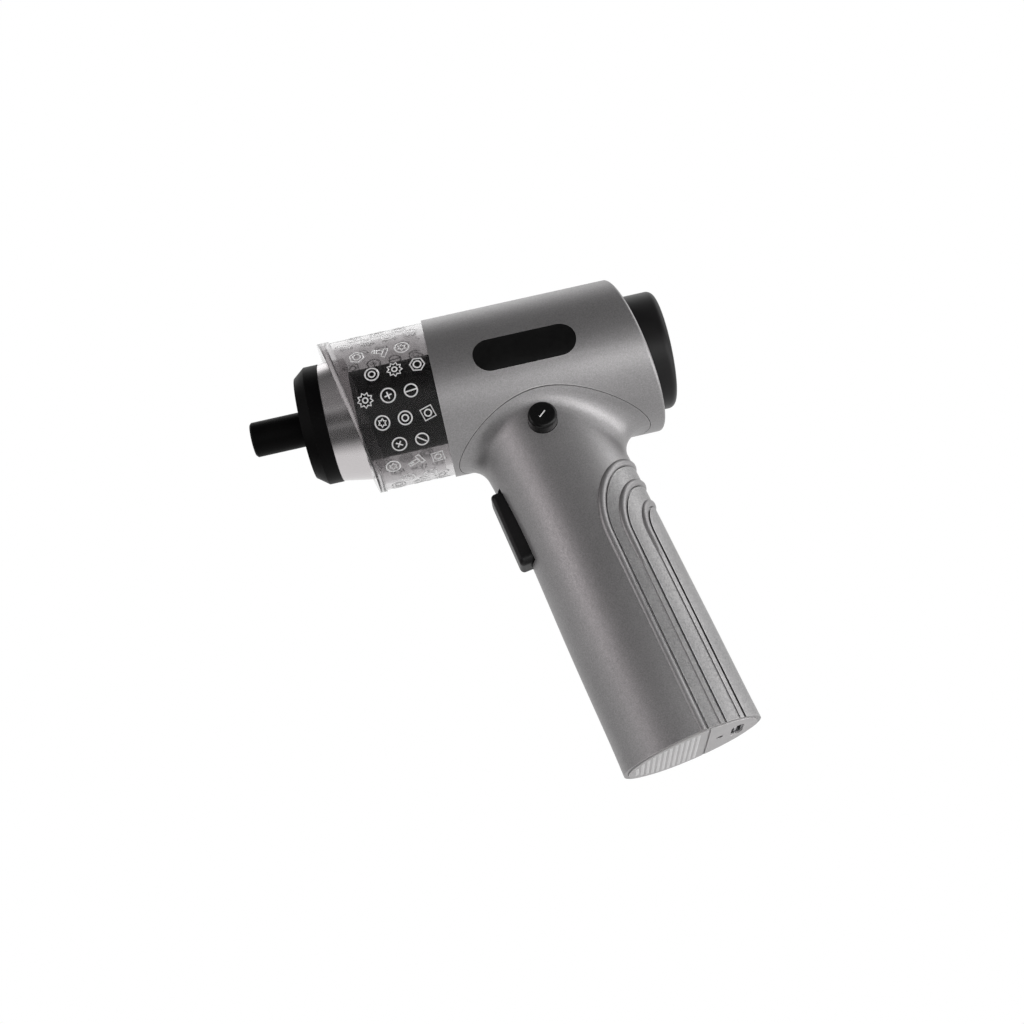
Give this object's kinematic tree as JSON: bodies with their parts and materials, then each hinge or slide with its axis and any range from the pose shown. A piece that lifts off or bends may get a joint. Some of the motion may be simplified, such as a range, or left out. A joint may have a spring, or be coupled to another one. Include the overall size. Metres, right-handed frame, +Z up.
{
  "type": "electric screwdriver",
  "caption": "Cordless pistol-grip screwdriver with a tilted barrel, clear nose cover round the gear case, frosted light cone, hex bit holder, long trigger and side button.",
  "frame": {"origin": "centre of the oval base face the tool stands on", "axes": "+Z up along the grip, +X toward the bit, +Y to the tool's left side with the button"},
  "size_m": [0.1214, 0.0455, 0.1475],
  "materials": {
    "grey_paint": "fine metallic satin paint",
    "grip_paint": "grainy metallic satin paint",
    "black_satin": "satin black",
    "black_gloss": "gloss black",
    "base_grey": "matt light grey",
    "clear_plastic": "clear",
    "frosted_plastic": "frosted",
    "dark_case": "matt black",
    "steel": "bright",
    "gear_steel": "oiled",
    "magnet": "dull",
    "copper": "bare",
    "bell_plastic": "moulded",
    "circuit_board": "solder mask",
    "lamp_clear": "clear epoxy",
    "cell_wrap": "shrink wrap over a metal can",
    "nickel": "bright strip",
    "seal_rubber": "black"
  },
  "bodies": {
    "housing": {"barrel_shell": "grey_paint", "rear_cap": "black_satin", "badge_plate": "black_gloss", "grip_left": "grey_paint", "grip_right": "grey_paint", "grip_panel": "grip_paint", "base_cap": "base_grey", "charge_port": "steel", "charge_board": "circuit_board", "charge_lamp": "lamp_clear", "battery_cell": "cell_wrap", "battery_tab_low": "nickel", "battery_tab_top": "nickel", "control_board": "circuit_board", "trigger_switch": "bell_plastic", "trigger_spring": "steel", "button_board": "circuit_board", "button_switch": "bell_plastic", "grip_screw_1": "steel", "grip_screw_2": "steel", "grip_screw_3": "steel", "motor_can": "steel", "motor_magnets": "magnet", "motor_end_bell": "bell_plastic", "motor_cradle": "dark_case", "motor_plate": "dark_case", "gear_mount": "dark_case", "gear_case": "dark_case", "case_screws": "steel", "ring_gear": "gear_steel", "led_board": "circuit_board", "led_lamps": "lamp_clear", "rear_bush": "copper", "front_bush": "copper"},
    "cup": {"clear_cup": "clear_plastic", "cup_seal": "seal_rubber", "nose_cone": "frosted_plastic", "nose_collar": "black_satin"},
    "spindle": {"bit_holder": "black_satin", "bit_magnet": "magnet", "output_carrier": "gear_steel"},
    "carrier_one": {"stage_one_carrier": "gear_steel"},
    "rotor": {"motor_shaft": "steel", "motor_armature": "magnet", "motor_commutator": "copper", "motor_pinion": "gear_steel"},
    "trigger": {"trigger": "black_satin"},
    "button": {"side_button": "black_satin"},
    "planet_one_1": {"planet_one_1": "gear_steel"},
    "planet_one_2": {"planet_one_2": "gear_steel"},
    "planet_one_3": {"planet_one_3": "gear_steel"},
    "planet_two_1": {"planet_two_1": "gear_steel"},
    "planet_two_2": {"planet_two_2": "gear_steel"},
    "planet_two_3": {"planet_two_3": "gear_steel"}
  },
  "joints": [
    {"name": "spindle_spin", "type": "hinge", "parent": "housing", "child": "spindle", "pos_m": [0.02956, 0, 0.12111], "axis": [0.9854, 0, 0.1702], "continuous": true},
    {"name": "carrier_one_spin", "type": "hinge", "parent": "housing", "child": "carrier_one", "pos_m": [0.01577, 0, 0.11872], "axis": [0.9854, 0, 0.1702], "continuous": true},
    {"name": "rotor_spin", "type": "hinge", "parent": "housing", "child": "rotor", "pos_m": [-0.00985, 0, 0.1143], "axis": [0.9854, 0, 0.1702], "continuous": true},
    {"name": "cup_slide", "type": "slide", "parent": "housing", "child": "cup", "axis": [0.9854, 0, 0.1702], "range_m": [0, 0.05]},
    {"name": "trigger_slide", "type": "slide", "parent": "housing", "child": "trigger", "axis": [-1, 0, 0], "range_m": [0, 0.0025], "stiffness_N_per_m": 600, "springref_m": -0.002, "deforming": ["trigger_spring"]},
    {"name": "button_press", "type": "slide", "parent": "housing", "child": "button", "axis": [0, -1, 0], "range_m": [0, 0.0009], "stiffness_N_per_m": 900, "springref_m": -0.001},
    {"name": "planet_one_1_spin", "type": "hinge", "parent": "carrier_one", "child": "planet_one_1", "pos_m": [0.01119, 0, 0.12463], "axis": [0.9854, 0, 0.1702], "continuous": true},
    {"name": "planet_one_2_spin", "type": "hinge", "parent": "carrier_one", "child": "planet_one_2", "pos_m": [0.01288, -0.00572, 0.11488], "axis": [0.9854, 0, 0.1702], "continuous": true},
    {"name": "planet_one_3_spin", "type": "hinge", "parent": "carrier_one", "child": "planet_one_3", "pos_m": [0.01288, 0.00572, 0.11488], "axis": [0.9854, 0, 0.1702], "continuous": true},
    {"name": "planet_two_1_spin", "type": "hinge", "parent": "spindle", "child": "planet_two_1", "pos_m": [0.01829, 0, 0.12586], "axis": [0.9854, 0, 0.1702], "continuous": true},
    {"name": "planet_two_2_spin", "type": "hinge", "parent": "spindle", "child": "planet_two_2", "pos_m": [0.01997, -0.00572, 0.1161], "axis": [0.9854, 0, 0.1702], "continuous": true},
    {"name": "planet_two_3_spin", "type": "hinge", "parent": "spindle", "child": "planet_two_3", "pos_m": [0.01997, 0.00572, 0.1161], "axis": [0.9854, 0, 0.1702], "continuous": true}
  ],
  "couplings": [
    {"joint": "carrier_one_spin", "follows": "spindle_spin", "ratio": 4},
    {"joint": "rotor_spin", "follows": "spindle_spin", "ratio": 16},
    {"joint": "planet_one_1_spin", "follows": "spindle_spin", "ratio": -12},
    {"joint": "planet_one_2_spin", "follows": "spindle_spin", "ratio": -12},
    {"joint": "planet_one_3_spin", "follows": "spindle_spin", "ratio": -12},
    {"joint": "planet_two_1_spin", "follows": "spindle_spin", "ratio": -3},
    {"joint": "planet_two_2_spin", "follows": "spindle_spin", "ratio": -3},
    {"joint": "planet_two_3_spin", "follows": "spindle_spin", "ratio": -3}
  ]
}
